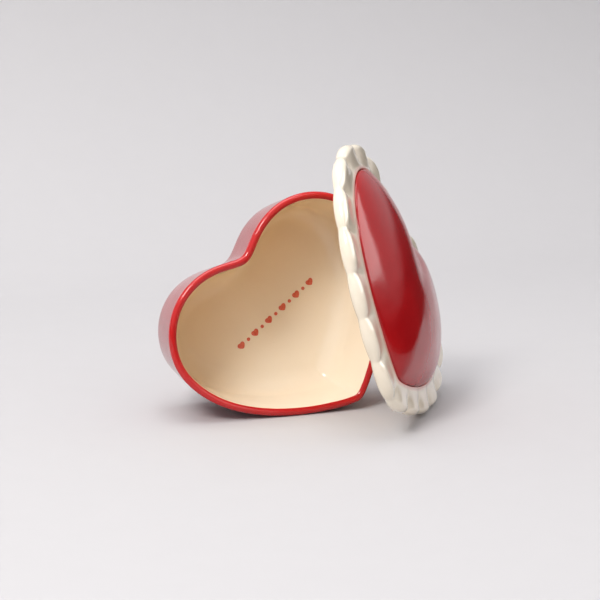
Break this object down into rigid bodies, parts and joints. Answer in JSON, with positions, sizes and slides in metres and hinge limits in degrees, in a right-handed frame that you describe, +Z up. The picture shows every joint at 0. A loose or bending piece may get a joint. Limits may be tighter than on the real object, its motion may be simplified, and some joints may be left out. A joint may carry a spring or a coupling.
{
  "type": "heart-shaped trinket box",
  "caption": "Glazed ceramic heart-shaped trinket box: deep drafted dish standing on its side, with a puffed heart lid and scalloped frill leaning on its rim",
  "frame": {"origin": "on the ground under the middle of the two pieces as they stand", "axes": "+Z up; the dish's mouth faces -Y and looks up a little; +X runs from the dish to the lid"},
  "size_m": [0.1608, 0.1202, 0.1362],
  "materials": {
    "dish_glaze": "gloss red glaze outside and over the lip, gloss cream glaze inside",
    "dome_glaze": "gloss red glaze",
    "frill_glaze": "gloss cream glaze, thinner and pinker where it meets the red",
    "ring_glaze": "satin cream glaze, bare on the tip"
  },
  "bodies": {
    "dish": {"dish": "dish_glaze"},
    "lid": {"lid_dome": "dome_glaze", "lid_frill": "frill_glaze", "lid_locating_ring": "ring_glaze"}
  },
  "joints": [
    {"name": "lid_lift", "type": "slide", "parent": "dish", "child": "lid", "axis": [0.7849, -0.5557, 0.274], "range_m": [0, 0.075]}
  ]
}
